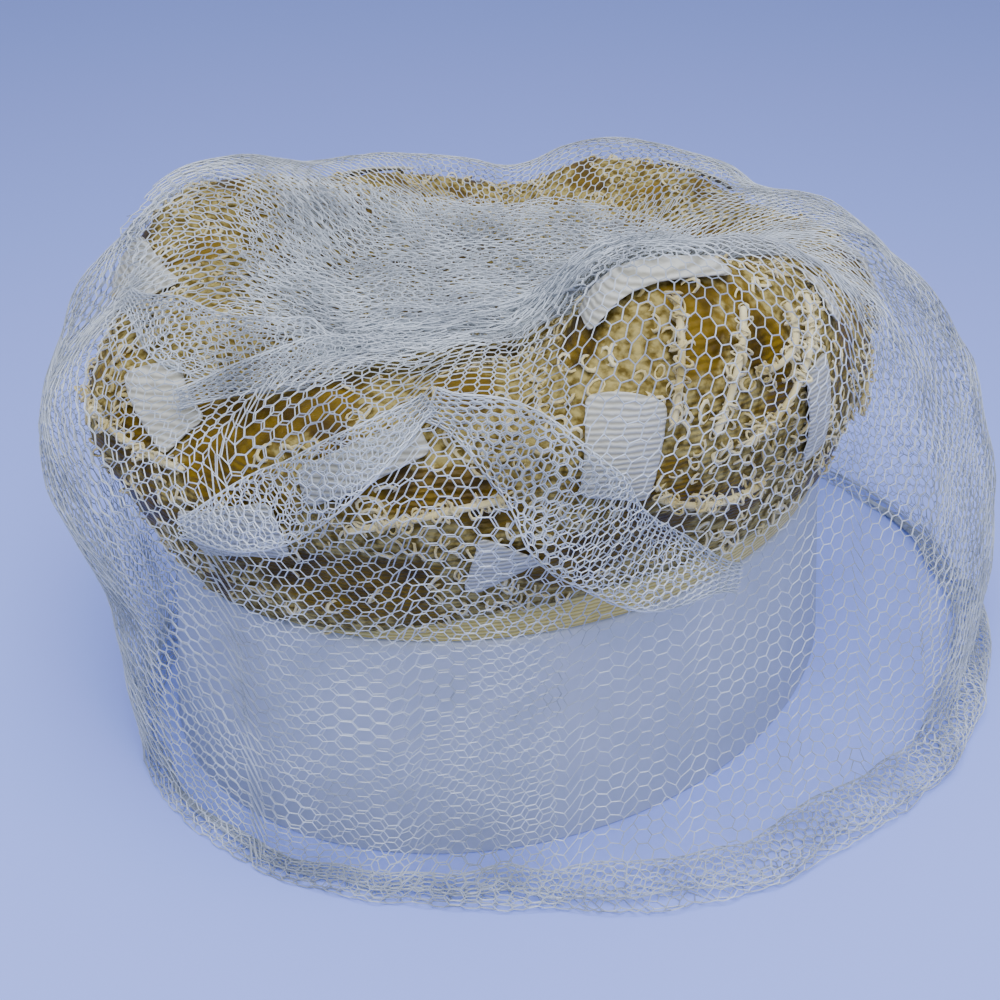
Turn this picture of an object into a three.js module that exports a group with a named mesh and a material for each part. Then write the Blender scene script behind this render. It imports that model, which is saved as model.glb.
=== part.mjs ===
// A puffed fancy-straw pillbox hat with a net veil thrown over it, on a plain oval hat stand.
// Millimetres, +Z up. The origin is the centre of the stand's underside. +Y is the back of the
// head oval, and angles run anticlockwise from +X as seen from above.
import * as THREE from 'three';

// Clearances between neighbouring pieces
const SEAT_GAP = 0.3;
const TRIM_GAP = 0.7;
const VEIL_GAP = 1.7;
const PANEL_GAP = 0.3;
const SEAM_GAP = 0.4;

// The stand and the band that sits on it are ovals
const STAND_LENGTH = 200;
const STAND_WIDTH = 163;
const STAND_HEIGHT = 55;
const STAND_TOP_SHARE = 0.925;
const STAND_EDGE_RADIUS = 3;
const BAND_LENGTH = 184;
const BAND_WIDTH = 150;
const BAND_HEIGHT = 15;
const BAND_THICKNESS = 1.6;

// The crown, a soft wall from its hem over the crest to the middle of the dish
const CROWN_HEIGHT = 58;
const CROWN_THICKNESS = 2;
const BELLY_OVERHANG = 13;
const DISH_DEPTH = 19;
const CREST_SWELL = 20;

// Trims on the crown
const TAPE_WIDTH = 16;
const TAPE_THICKNESS = 1;
const GIMP_DIAMETER = 1.8;

// The veil, doubled net that hugs the crown and stands off it at the sides
const VEIL_THICKNESS = 1.6;
const VEIL_REACH = 42;
const HEM_REACH = 44;
const FOLD_HEIGHT = 3.4;
const ROLL_THICKNESS = 6;
const ROLL_WIDTH = 11;

// Fineness of the facets
const CROWN_COLUMNS = 54;
const SIDE_ROWS = 9;
const TIP_ROWS = 8;
const PANEL_COLUMNS = 14;
const CAP_ROWS = 12;
const PANEL_ROWS = 8;
const OVAL_COLUMNS = 44;
const EDGE_STEPS = 3;
const TAPE_STEPS = 5;
const GIMP_STEPS = 10;
const GIMP_SIDES = 5;

// The crown's levels. reach is a share of the band's half axes, rise a share of the crown's
// height, swell the share of its sector's crest swell, bulge the share of the belly's overhang,
// and sink the share of the dish's depth.
const CROWN_LEVELS = [
  { name: 'hem', reach: 1, rise: 0, swell: 0, bulge: 0, sink: 0 },
  { name: 'skirt', reach: 1, rise: 0.2, swell: 0, bulge: 0.42, sink: 0 },
  { name: 'belly', reach: 1, rise: 0.58, swell: 0.2, bulge: 1, sink: 0 },
  { name: 'shoulder', reach: 0.99, rise: 0.86, swell: 0.75, bulge: 0.72, sink: 0 },
  { name: 'crest', reach: 0.9, rise: 1, swell: 1, bulge: 0, sink: 0 },
  { name: 'lip', reach: 0.74, rise: 0.98, swell: 0.75, bulge: 0, sink: 0.15 },
  { name: 'dish side', reach: 0.5, rise: 1, swell: 0.1, bulge: 0, sink: 0.8 },
  { name: 'dish floor', reach: 0.24, rise: 1, swell: 0, bulge: 0, sink: 0.97 },
  { name: 'centre', reach: 0, rise: 1, swell: 0, bulge: 0, sink: 1 },
];

// The crown's sectors. swell is a share of the crest swell, belly a share of the overhang, and
// drop how far the hem hangs down over the band, as a share of the band's height.
const CROWN_SECTORS = [
  { angle: -170, swell: 0.3, belly: 0.85, drop: 0.95 },
  { angle: -142, swell: 0.5, belly: 0.95, drop: 0.95 },
  { angle: -115, swell: -0.1, belly: 0.95, drop: 0.95 },
  { angle: -85, swell: -0.45, belly: 0.95, drop: 0.95 },
  { angle: -60, swell: -0.3, belly: 0.8, drop: 0.75 },
  { angle: -40, swell: -0.1, belly: 0.75, drop: 0.4 },
  { angle: -24, swell: 0.75, belly: 0.9, drop: 0.3 },
  { angle: -4, swell: 0.6, belly: 0.8, drop: 0.35 },
  { angle: 22, swell: 0, belly: 0.6, drop: 0.6 },
  { angle: 55, swell: -0.3, belly: 0.45, drop: 0.8 },
  { angle: 90, swell: -0.15, belly: 0.5, drop: 0.9 },
  { angle: 120, swell: -0.1, belly: 0.6, drop: 0.9 },
  { angle: 152, swell: -0.3, belly: 0.75, drop: 0.95 },
];

// Pinches and puffs of the crown. angle and level say where the middle lies, wide is its half
// width in degrees and tall its half height in levels, lean how many degrees it turns in a level,
// and depth is outwards, as a share of the belly's overhang.
const CROWN_PUFFS = [
  { angle: -36, level: 3.9, wide: 7, tall: 1.1, lean: 4, depth: -0.5 },
  { angle: -62, level: 3.2, wide: 10, tall: 0.9, lean: -6, depth: 0.22 },
  { angle: -84, level: 3.4, wide: 8, tall: 1, lean: 5, depth: -0.3 },
  { angle: -104, level: 2.6, wide: 11, tall: 1, lean: 4, depth: 0.24 },
  { angle: -126, level: 3.3, wide: 8, tall: 1.1, lean: -5, depth: -0.28 },
  { angle: -150, level: 3, wide: 12, tall: 1, lean: 3, depth: 0.2 },
  { angle: -176, level: 3.6, wide: 9, tall: 1, lean: 5, depth: -0.32 },
  { angle: 162, level: 3.2, wide: 11, tall: 1, lean: -4, depth: 0.2 },
  { angle: 138, level: 3.6, wide: 8, tall: 1.1, lean: 4, depth: -0.34 },
  { angle: 114, level: 3.2, wide: 12, tall: 1, lean: 3, depth: 0.22 },
  { angle: 82, level: 3.5, wide: 8, tall: 1, lean: -4, depth: -0.32 },
  { angle: 56, level: 3, wide: 11, tall: 1, lean: 4, depth: 0.22 },
  { angle: 24, level: 3.4, wide: 8, tall: 1.1, lean: -5, depth: -0.3 },
  { angle: -8, level: 2.7, wide: 13, tall: 0.9, lean: 3, depth: 0.2 },
  { angle: -70, level: 1.2, wide: 12, tall: 0.5, lean: 8, depth: -0.2 },
  { angle: -20, level: 1.1, wide: 12, tall: 0.5, lean: -8, depth: -0.2 },
];

// Flat tapes on the crown, each from one angle and level to another. width is a share of the
// widest tape, and tip the share of its width that a tape keeps at its far end.
const TAPES = [
  { name: 'front_big', from: [-28, 2.9], to: [-30, 2], width: 0.88, tip: 1 },
  { name: 'front_point', from: [-41, 1.65], to: [-46, 1.1], width: 1, tip: 0.2 },
  { name: 'crest_long', from: [-30, 4], to: [-9, 3.8], width: 0.5, tip: 0.7 },
  { name: 'right_end', from: [-3, 2.7], to: [1, 1.7], width: 0.56, tip: 0.9 },
  { name: 'right_curl', from: [12, 3.8], to: [5, 3], width: 0.56, tip: 0.5 },
  { name: 'left_low', from: [-82, 1.75], to: [-68, 2.05], width: 0.69, tip: 0.9 },
  { name: 'left_high', from: [-135, 3], to: [-117, 3.7], width: 0.81, tip: 1 },
  { name: 'left_mid', from: [-98, 3.4], to: [-86, 3], width: 0.75, tip: 0.8 },
  { name: 'slant', from: [-65, 2.6], to: [-51, 3.2], width: 0.44, tip: 1 },
  { name: 'back_1', from: [-160, 2.9], to: [-156, 1.9], width: 0.81, tip: 1 },
  { name: 'back_2', from: [-179, 3.5], to: [162, 3.7], width: 0.56, tip: 0.7 },
  { name: 'back_3', from: [158, 1.5], to: [142, 2], width: 0.75, tip: 1 },
  { name: 'back_4', from: [125, 3], to: [122, 1.9], width: 0.75, tip: 0.9 },
  { name: 'back_5', from: [108, 3.6], to: [90, 3.4], width: 0.56, tip: 0.7 },
  { name: 'back_6', from: [76, 1.5], to: [70, 2.4], width: 0.75, tip: 1 },
  { name: 'back_7', from: [50, 3], to: [36, 2.4], width: 0.75, tip: 0.9 },
];

// Looped cords that run over the crown from one place to another by way of a third
const GIMPS = [
  { name: 'puff_1', from: [-20, 3.5], by: [-22, 3], to: [-24, 2.5] },
  { name: 'puff_2', from: [-12, 3.3], by: [-16, 2.8], to: [-19, 2.35] },
  { name: 'arc_inner', from: [-5, 3.25], by: [-5, 2.75], to: [-13, 2.75] },
  { name: 'arc_outer', from: [0, 3.3], by: [-6, 2.45], to: [-15, 2.2] },
  { name: 'puff_foot', from: [-25, 1.9], by: [-17, 1.5], to: [-9, 1.7] },
  { name: 'front_arc', from: [-60, 2.1], by: [-52, 2.3], to: [-42, 2.3] },
  { name: 'left_arc', from: [-104, 2.7], by: [-94, 2.5], to: [-82, 2.6] },
  { name: 'left_curl', from: [-112, 3.5], by: [-106, 4], to: [-102, 3.4] },
  { name: 'left_line', from: [-140, 2.5], by: [-136, 1.9], to: [-126, 1.4] },
  { name: 'back_arc_1', from: [-182, 2.7], by: [-176, 2], to: [-168, 1.6] },
  { name: 'back_arc_2', from: [134, 1.3], by: [136, 2.2], to: [146, 2.9] },
  { name: 'back_arc_3', from: [86, 2.7], by: [94, 2.1], to: [110, 1.8] },
  { name: 'back_arc_4', from: [26, 1.4], by: [38, 1.6], to: [58, 1.9] },
];

// How the veil leaves the crown in each sector. leave is the crown's level where it does. brow is
// how far it then stands out from the band and fall from the stand, both as a share of the veil's
// reach, foot and hem how far from the stand near the floor and on it, as a share of the hem's
// reach, and roll how much of the hem's roll lies there.
const VEIL_SECTORS = [
  { angle: -165, leave: 3.2, brow: 0.75, fall: 0.52, foot: 0.26, hem: 0.39, roll: 0.25 },
  { angle: -135, leave: 3.2, brow: 0.8, fall: 0.44, foot: 0.2, hem: 0.34, roll: 0.2 },
  { angle: -105, leave: 2.9, brow: 0.6, fall: 0.35, foot: 0.21, hem: 0.34, roll: 0.2 },
  { angle: -75, leave: 1.9, brow: 0.38, fall: 0.31, foot: 0.18, hem: 0.4, roll: 0.2 },
  { angle: -45, leave: 1.7, brow: 0.3, fall: 0.25, foot: 0.16, hem: 0.46, roll: 0.4 },
  { angle: -15, leave: 1.9, brow: 0.42, fall: 0.42, foot: 0.44, hem: 0.79, roll: 1 },
  { angle: 15, leave: 2.8, brow: 0.52, fall: 0.77, foot: 0.79, hem: 1.02, roll: 1 },
  { angle: 45, leave: 3.3, brow: 0.7, fall: 1.07, foot: 0.99, hem: 1.16, roll: 1 },
  { angle: 75, leave: 3.3, brow: 0.66, fall: 0.97, foot: 0.94, hem: 1.06, roll: 0.7 },
  { angle: 105, leave: 3.3, brow: 0.6, fall: 0.72, foot: 0.64, hem: 0.79, roll: 0.4 },
  { angle: 135, leave: 3.2, brow: 0.55, fall: 0.57, foot: 0.44, hem: 0.64, roll: 0.3 },
  { angle: 165, leave: 3.3, brow: 0.65, fall: 0.52, foot: 0.34, hem: 0.54, roll: 0.3 },
];

// The free part of the veil hangs in panels round the hat, each with its middle at an angle
const VEIL_PANELS = [
  { name: 'left', angle: 0 },
  { name: 'back', angle: 90 },
  { name: 'right', angle: 180 },
  { name: 'front', angle: 270 },
];

// Fold ridges of the veil, from one angle and place along the drape to another. The place is 0 at
// the middle of the dish and 1 at the hem, width is in degrees, and height is a share of the
// highest fold.
const VEIL_FOLDS = [
  { from: [-60, 0.43], to: [-32, 0.565], width: 3.6, height: 0.76 },
  { from: [-60, 0.43], to: [-92, 0.56], width: 3.8, height: 0.65 },
  { from: [-32, 0.565], to: [-2, 0.56], width: 3.6, height: 0.65 },
  { from: [-108, 0.62], to: [-102, 0.86], width: 4.5, height: 0.71 },
  { from: [-134, 0.6], to: [-136, 0.86], width: 5, height: 0.88 },
  { from: [-160, 0.6], to: [-166, 0.88], width: 5, height: 0.88 },
  { from: [20, 0.6], to: [16, 0.88], width: 5, height: 0.88 },
  { from: [42, 0.6], to: [46, 0.88], width: 5, height: 1 },
  { from: [68, 0.6], to: [64, 0.88], width: 5, height: 1 },
  { from: [94, 0.6], to: [98, 0.88], width: 5, height: 0.88 },
  { from: [122, 0.6], to: [126, 0.88], width: 5, height: 0.88 },
  { from: [150, 0.6], to: [154, 0.88], width: 5, height: 0.88 },
  { from: [-20, 0.64], to: [-12, 0.88], width: 4.5, height: 0.59 },
  { from: [-66, 0.66], to: [-72, 0.88], width: 4.5, height: 0.59 },
];

// How high the veil's free sections stand: the brow as a share of the height where the veil
// leaves the crown, the fall and the knee as shares of the stand's height. Then how many sections
// follow the crown, and how many hang free below it.
const BROW_SHARE = 0.8;
const FALL_SHARE = 0.84;
const KNEE_SHARE = 0.1;
const HUG_STEPS = 7;
const FREE_STEPS = 5;

// Where the hem's roll lies along the drape and how wide it is there, where the folds end, and how
// fast they die out
const ROLL_PLACE = 0.97;
const ROLL_SHARE = 0.03;
const FOLDS_END = 0.9;
const FOLD_FADE = 0.05;

// How strongly a sector table bends between its rows
const SECTOR_BEND = 0.5;

// The steps that directions on a surface are measured with: degrees, shares of the surface's
// length, crown levels and shares of a tape. No normal is taken nearer to the dish's middle than
// POLE_SHARE.
const NORMAL_TURN = 1.5;
const NORMAL_SHARE = 0.015;
const POLE_SHARE = 0.04;
const LEVEL_STEP = 0.1;
const TAPE_LOOK = 0.05;

const band = { x: BAND_WIDTH / 2, y: BAND_LENGTH / 2 };
const stand = { x: STAND_WIDTH / 2, y: STAND_LENGTH / 2 };
const bandFoot = STAND_HEIGHT + SEAT_GAP;
const hemTop = bandFoot + BAND_HEIGHT;
const crestHeight = bandFoot + CROWN_HEIGHT;

const radians = (degrees) => THREE.MathUtils.degToRad(degrees);
const bell = (x) => Math.exp(-x * x);

// The shortest turn from one angle to another, in degrees
const turnTo = (from, to) => THREE.MathUtils.euclideanModulo(to - from + 180, 360) - 180;

// A column of a sector table at any angle, smooth all round
function around(sectors, column, angle) {
  const count = sectors.length;
  const start = sectors.findIndex((sector, index) => {
    const gone = turnTo(sector.angle, angle);
    return gone >= 0 && gone < turnTo(sector.angle, sectors[(index + 1) % count].angle);
  });
  const here = (step) => sectors[(start + step + count) % count];
  const share = turnTo(here(0).angle, angle) / turnTo(here(0).angle, here(1).angle);
  const slope = (step) => (here(step + 1)[column] - here(step - 1)[column]) / 2;
  const between = THREE.MathUtils.lerp(
    here(0)[column],
    here(1)[column],
    THREE.MathUtils.smoothstep(share, 0, 1),
  );
  const bend = (1 - share) * slope(0) - share * slope(1);
  return between + share * (1 - share) * bend * SECTOR_BEND;
}

// A point at an angle and a share of an oval's half axes, plus a distance straight out
function ovalPoint(oval, angle, share, out, height) {
  const c = Math.cos(radians(angle));
  const s = Math.sin(radians(angle));
  const normal = new THREE.Vector2(c * oval.y, s * oval.x).normalize();
  return new THREE.Vector3(
    oval.x * share * c + normal.x * out,
    oval.y * share * s + normal.y * out,
    height,
  );
}

// The crown's inner face at an angle and a level, before its puffs
const crownCurves = new Map();
function crownCurve(angle) {
  const key = angle.toFixed(3);
  if (!crownCurves.has(key)) {
    const swell = around(CROWN_SECTORS, 'swell', angle) * CREST_SWELL;
    const belly = around(CROWN_SECTORS, 'belly', angle) * BELLY_OVERHANG;
    const hem = hemTop - around(CROWN_SECTORS, 'drop', angle) * BAND_HEIGHT;
    const points = CROWN_LEVELS.map((level) => {
      const ease = level.reach === 1 ? SEAT_GAP : 0;
      const height = THREE.MathUtils.lerp(hem, crestHeight, level.rise);
      return ovalPoint(
        band,
        angle,
        level.reach,
        ease + level.bulge * belly,
        height + level.swell * swell - level.sink * DISH_DEPTH,
      );
    });
    crownCurves.set(key, new THREE.CatmullRomCurve3(points, false, 'centripetal'));
  }
  return crownCurves.get(key);
}

const lastLevel = CROWN_LEVELS.length - 1;
const crownBase = (angle, level) => (
  crownCurve(angle).getPoint(THREE.MathUtils.clamp(level / lastLevel, 0, 1))
);

// The normal of a surface given as a function of angle and place, whose places run from 0 to last
function normalOf(surface, angle, place, last) {
  const step = NORMAL_SHARE * last;
  const low = Math.max(0, place - step);
  const high = Math.min(last - step, place + step);
  const along = surface(angle, high).sub(surface(angle, low));
  const across = surface(angle + NORMAL_TURN, place).sub(surface(angle - NORMAL_TURN, place));
  return across.cross(along).normalize();
}

const crownNormal = (angle, level) => (
  normalOf(crownBase, angle, Math.min(level, lastLevel * (1 - POLE_SHARE)), lastLevel)
);

// How far the puffs and pinches move the crown outwards
function puff(angle, level) {
  return CROWN_PUFFS.reduce((sum, p) => {
    const rise = (level - p.level) / p.tall;
    const turn = (turnTo(p.angle, angle) - p.lean * (level - p.level)) / p.wide;
    return sum + p.depth * BELLY_OVERHANG * bell(rise) * bell(turn);
  }, 0);
}

// The crown's face at a distance out from its inner side
function crownFace(angle, level, out) {
  const distance = puff(angle, level) + out;
  return crownBase(angle, level).addScaledVector(crownNormal(angle, level), distance);
}

// A closed solid between two grids of points. wraps joins the last column to the first, and pole
// closes the last row to one point on each side.
function wallGeometry({ outer, inner, columns, rows, wraps, pole }) {
  const positions = [];
  const faces = [];
  const count = wraps ? columns : columns + 1;
  const lastRow = pole ? rows - 1 : rows;
  const grid = (face) => {
    const first = positions.length / 3;
    for (let row = 0; row <= lastRow; row += 1) {
      for (let column = 0; column < count; column += 1) {
        positions.push(...face(column / columns, row / rows).toArray());
      }
    }
    if (pole) positions.push(...face(0, 1).toArray());
    return (column, row) => {
      const start = first + row * count;
      return row > lastRow ? start : start + (column % count);
    };
  };
  const quad = (a, b, c, d) => faces.push(a, b, c, a, c, d);
  const out = grid(outer);
  const into = grid(inner);
  for (let row = 0; row < lastRow; row += 1) {
    for (let column = 0; column < columns; column += 1) {
      quad(out(column, row), out(column + 1, row), out(column + 1, row + 1), out(column, row + 1));
      quad(into(column, row), into(column, row + 1), into(column + 1, row + 1), into(column + 1, row));
    }
  }
  for (let column = 0; column < columns; column += 1) {
    quad(into(column, 0), into(column + 1, 0), out(column + 1, 0), out(column, 0));
    if (pole) {
      faces.push(out(column, lastRow), out(column + 1, lastRow), out(column, rows));
      faces.push(into(column + 1, lastRow), into(column, lastRow), into(column, rows));
    } else {
      quad(out(column, rows), out(column + 1, rows), into(column + 1, rows), into(column, rows));
    }
  }
  if (!wraps) {
    for (let row = 0; row < lastRow; row += 1) {
      quad(out(0, row), out(0, row + 1), into(0, row + 1), into(0, row));
      quad(into(columns, row), into(columns, row + 1), out(columns, row + 1), out(columns, row));
    }
  }
  const geometry = new THREE.BufferGeometry();
  geometry.setAttribute('position', new THREE.Float32BufferAttribute(positions, 3));
  geometry.setIndex(faces);
  geometry.computeVertexNormals();
  return geometry;
}

const finishes = {
  stand: new THREE.MeshStandardMaterial({ color: '#e4e6e6', roughness: 0.5, metalness: 0 }),
  band: new THREE.MeshStandardMaterial({ color: '#dccb8c', roughness: 0.7, metalness: 0 }),
  straw: new THREE.MeshStandardMaterial({ color: '#c9ad62', roughness: 0.6, metalness: 0 }),
  tape: new THREE.MeshStandardMaterial({ color: '#ebe6d2', roughness: 0.8, metalness: 0 }),
  gimp: new THREE.MeshStandardMaterial({ color: '#efe6c4', roughness: 0.9, metalness: 0 }),
  net: new THREE.MeshStandardMaterial({ color: '#f2f3ef', roughness: 0.8, metalness: 0 }),
};

const hat = new THREE.Group();

function addPiece(name, geometry, material) {
  const mesh = new THREE.Mesh(geometry, material);
  mesh.name = name;
  hat.add(mesh);
}

// The stand: an oval block that narrows upwards, with a rounded top edge
function standGeometry() {
  const profile = [
    new THREE.Vector2(0, 0),
    new THREE.Vector2(STAND_LENGTH / 2, 0),
  ];
  const topRadius = (STAND_LENGTH / 2) * STAND_TOP_SHARE;
  for (let step = 0; step <= EDGE_STEPS; step += 1) {
    const turn = radians((90 * step) / EDGE_STEPS);
    profile.push(new THREE.Vector2(
      topRadius - STAND_EDGE_RADIUS * (1 - Math.cos(turn)),
      STAND_HEIGHT - STAND_EDGE_RADIUS * (1 - Math.sin(turn)),
    ));
  }
  profile.push(new THREE.Vector2(0, STAND_HEIGHT));
  const geometry = new THREE.LatheGeometry(profile, OVAL_COLUMNS);
  geometry.rotateX(Math.PI / 2);
  geometry.scale(STAND_WIDTH / STAND_LENGTH, 1, 1);
  return geometry;
}

// The headband: a straight oval ring inside the crown's hem
function bandGeometry() {
  const face = (out) => (u, v) => ovalPoint(band, u * 360, 1, out, bandFoot + v * BAND_HEIGHT);
  return wallGeometry({
    outer: face(0),
    inner: face(-BAND_THICKNESS),
    columns: OVAL_COLUMNS,
    rows: 1,
    wraps: true,
    pole: false,
  });
}

// The crown's side, a soft wall from the hem up to the crest
const crestLevel = CROWN_LEVELS.findIndex((level) => level.name === 'crest');
function sideGeometry() {
  const face = (out) => (u, v) => crownFace(u * 360, v * crestLevel, out);
  return wallGeometry({
    outer: face(CROWN_THICKNESS),
    inner: face(0),
    columns: CROWN_COLUMNS,
    rows: SIDE_ROWS,
    wraps: true,
    pole: false,
  });
}

// The crown's tip, a soft wall from the seam at the crest to the middle of the dish
function tipGeometry() {
  const seam = crestLevel + (lastLevel * SEAM_GAP) / crownCurve(0).getLength();
  const face = (out) => (u, v) => (
    crownFace(u * 360, THREE.MathUtils.lerp(seam, lastLevel, v), out)
  );
  return wallGeometry({
    outer: face(CROWN_THICKNESS),
    inner: face(0),
    columns: CROWN_COLUMNS,
    rows: TIP_ROWS,
    wraps: true,
    pole: true,
  });
}

// The angle and level a small distance from a place on the crown, in a direction along its face
function slide(angle, level, direction, distance) {
  const here = crownFace(angle, level, 0);
  const perDegree = crownFace(angle + 1, level, 0).sub(here);
  const perLevel = crownFace(angle, level + LEVEL_STEP, 0).sub(here).divideScalar(LEVEL_STEP);
  const a = perDegree.lengthSq();
  const b = perDegree.dot(perLevel);
  const c = perLevel.lengthSq();
  const u = perDegree.dot(direction) * distance;
  const v = perLevel.dot(direction) * distance;
  const det = a * c - b * b;
  return [angle + (c * u - b * v) / det, level + (a * v - b * u) / det];
}

// A flat tape that runs over the crown from one place to another
function tapeGeometry(tape) {
  const foot = CROWN_THICKNESS + TRIM_GAP;
  const middle = (u) => [
    tape.from[0] + u * turnTo(tape.from[0], tape.to[0]),
    THREE.MathUtils.lerp(tape.from[1], tape.to[1], u),
  ];
  const face = (out) => (u, v) => {
    const [angle, level] = middle(u);
    const ahead = crownFace(...middle(u + TAPE_LOOK), 0);
    ahead.sub(crownFace(...middle(u - TAPE_LOOK), 0));
    const side = crownNormal(angle, level).cross(ahead).normalize();
    const width = TAPE_WIDTH * tape.width * THREE.MathUtils.lerp(1, tape.tip, u);
    return crownFace(...slide(angle, level, side, (v - 0.5) * width), out);
  };
  return wallGeometry({
    outer: face(foot + TAPE_THICKNESS),
    inner: face(foot),
    columns: TAPE_STEPS,
    rows: 2,
    wraps: false,
    pole: false,
  });
}

// A looped cord: a tube over the crown, clear of the tapes below it
function gimpGeometry(gimp) {
  const radius = GIMP_DIAMETER / 2;
  const out = CROWN_THICKNESS + TRIM_GAP + radius;
  const route = new THREE.QuadraticBezierCurve(
    new THREE.Vector2(...gimp.from),
    new THREE.Vector2(...gimp.by),
    new THREE.Vector2(...gimp.to),
  );
  const points = route.getPoints(GIMP_STEPS).map((p) => crownFace(p.x, p.y, out));
  const round = new THREE.EllipseCurve(0, 0, radius, radius).getPoints(GIMP_SIDES);
  const section = new THREE.Shape(round.slice(0, -1));
  return new THREE.ExtrudeGeometry(section, {
    steps: GIMP_STEPS,
    extrudePath: new THREE.CatmullRomCurve3(points),
  });
}

// The veil's inner face: over the crown to the place where it leaves it, then free to the hem
const trimHeight = CROWN_THICKNESS + TRIM_GAP + GIMP_DIAMETER + VEIL_GAP;
const veilCurves = new Map();
function veilCurve(angle) {
  const key = angle.toFixed(3);
  if (!veilCurves.has(key)) {
    const at = (column) => around(VEIL_SECTORS, column, angle);
    const leave = at('leave');
    const points = [];
    for (let step = 0; step <= HUG_STEPS; step += 1) {
      const level = THREE.MathUtils.lerp(lastLevel, leave, step / HUG_STEPS);
      points.push(crownFace(angle, level, trimHeight));
    }
    const height = points[HUG_STEPS].z;
    const fallHeight = STAND_HEIGHT * FALL_SHARE;
    const fallShare = THREE.MathUtils.lerp(1, STAND_TOP_SHARE, FALL_SHARE);
    points.push(
      ovalPoint(band, angle, 1, at('brow') * VEIL_REACH, height * BROW_SHARE),
      ovalPoint(stand, angle, fallShare, at('fall') * VEIL_REACH, fallHeight),
      ovalPoint(stand, angle, 1, at('foot') * HEM_REACH, STAND_HEIGHT * KNEE_SHARE),
      ovalPoint(stand, angle, 1, at('hem') * HEM_REACH - ROLL_WIDTH, 0),
      ovalPoint(stand, angle, 1, at('hem') * HEM_REACH, 0),
    );
    veilCurves.set(key, new THREE.CatmullRomCurve3(points, false, 'centripetal'));
  }
  return veilCurves.get(key);
}

function veilBase(angle, place) {
  const point = veilCurve(angle).getPoint(place);
  point.z = Math.max(0, point.z);
  return point;
}

// How far the fold ridges lift the veil
function foldHeight(angle, place) {
  return VEIL_FOLDS.reduce((sum, fold) => {
    const span = fold.to[1] - fold.from[1];
    const share = THREE.MathUtils.clamp((place - fold.from[1]) / span, 0, 1);
    const middle = fold.from[0] + share * turnTo(fold.from[0], fold.to[0]);
    const off = turnTo(middle, angle) / fold.width;
    const beyond = (place - (fold.from[1] + share * span)) / FOLD_FADE;
    return sum + FOLD_HEIGHT * fold.height * bell(off) * bell(beyond);
  }, 0);
}

// A face of the veil: out is 0 for the inner one and 1 for the outer one
function veilFace(angle, place, out) {
  const inside = THREE.MathUtils.clamp(place, NORMAL_SHARE, 1 - NORMAL_SHARE);
  const normal = normalOf(veilBase, angle, inside, 1).negate();
  const rolled = bell((place - ROLL_PLACE) / ROLL_SHARE) * around(VEIL_SECTORS, 'roll', angle);
  const thickness = THREE.MathUtils.lerp(VEIL_THICKNESS, ROLL_THICKNESS, Math.min(1, rolled));
  const fold = place < FOLDS_END ? foldHeight(angle, place) : 0;
  const point = veilBase(angle, place).addScaledVector(normal, fold + out * thickness);
  point.z = Math.max(out * VEIL_THICKNESS, point.z);
  return point;
}

// The veil's cap: a soft wall over the crown, to the line where the veil leaves it
const leavePlace = HUG_STEPS / (HUG_STEPS + FREE_STEPS);
function capGeometry() {
  const face = (out) => (u, v) => veilFace(u * 360, leavePlace * (1 - v), out);
  return wallGeometry({
    outer: face(1),
    inner: face(0),
    columns: PANEL_COLUMNS * VEIL_PANELS.length,
    rows: CAP_ROWS,
    wraps: true,
    pole: true,
  });
}

// A panel of the veil's free part: a soft wall from the cap's edge down to the hem
function panelGeometry(panel) {
  const middle = panel.angle;
  const length = veilCurve(middle).getLength();
  const half = 180 / VEIL_PANELS.length - THREE.MathUtils.radToDeg(PANEL_GAP / 2 / length);
  const top = leavePlace + PANEL_GAP / length;
  const face = (out) => (u, v) => (
    veilFace(middle + (2 * u - 1) * half, THREE.MathUtils.lerp(1, top, v), out)
  );
  return wallGeometry({
    outer: face(1),
    inner: face(0),
    columns: PANEL_COLUMNS,
    rows: PANEL_ROWS,
    wraps: false,
    pole: false,
  });
}

addPiece('stand', standGeometry(), finishes.stand);
addPiece('headband', bandGeometry(), finishes.band);
addPiece('crown_side', sideGeometry(), finishes.straw);
addPiece('crown_tip', tipGeometry(), finishes.straw);
TAPES.forEach((tape) => addPiece('tape_' + tape.name, tapeGeometry(tape), finishes.tape));
GIMPS.forEach((gimp) => addPiece('gimp_' + gimp.name, gimpGeometry(gimp), finishes.gimp));
addPiece('veil_cap', capGeometry(), finishes.net);
VEIL_PANELS.forEach((panel) => (
  addPiece('veil_' + panel.name, panelGeometry(panel), finishes.net)
));

export default hat;
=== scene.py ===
"""A puffed fancy-straw pillbox hat under a hexagonal net veil, on a plain oval hat stand."""
import logging
import math
from collections.abc import Callable, Iterator
from contextlib import contextmanager
from dataclasses import dataclass, field
from enum import Enum

import bpy
import numpy as np
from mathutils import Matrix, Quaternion, Vector, noise
from mathutils.bvhtree import BVHTree


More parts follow.
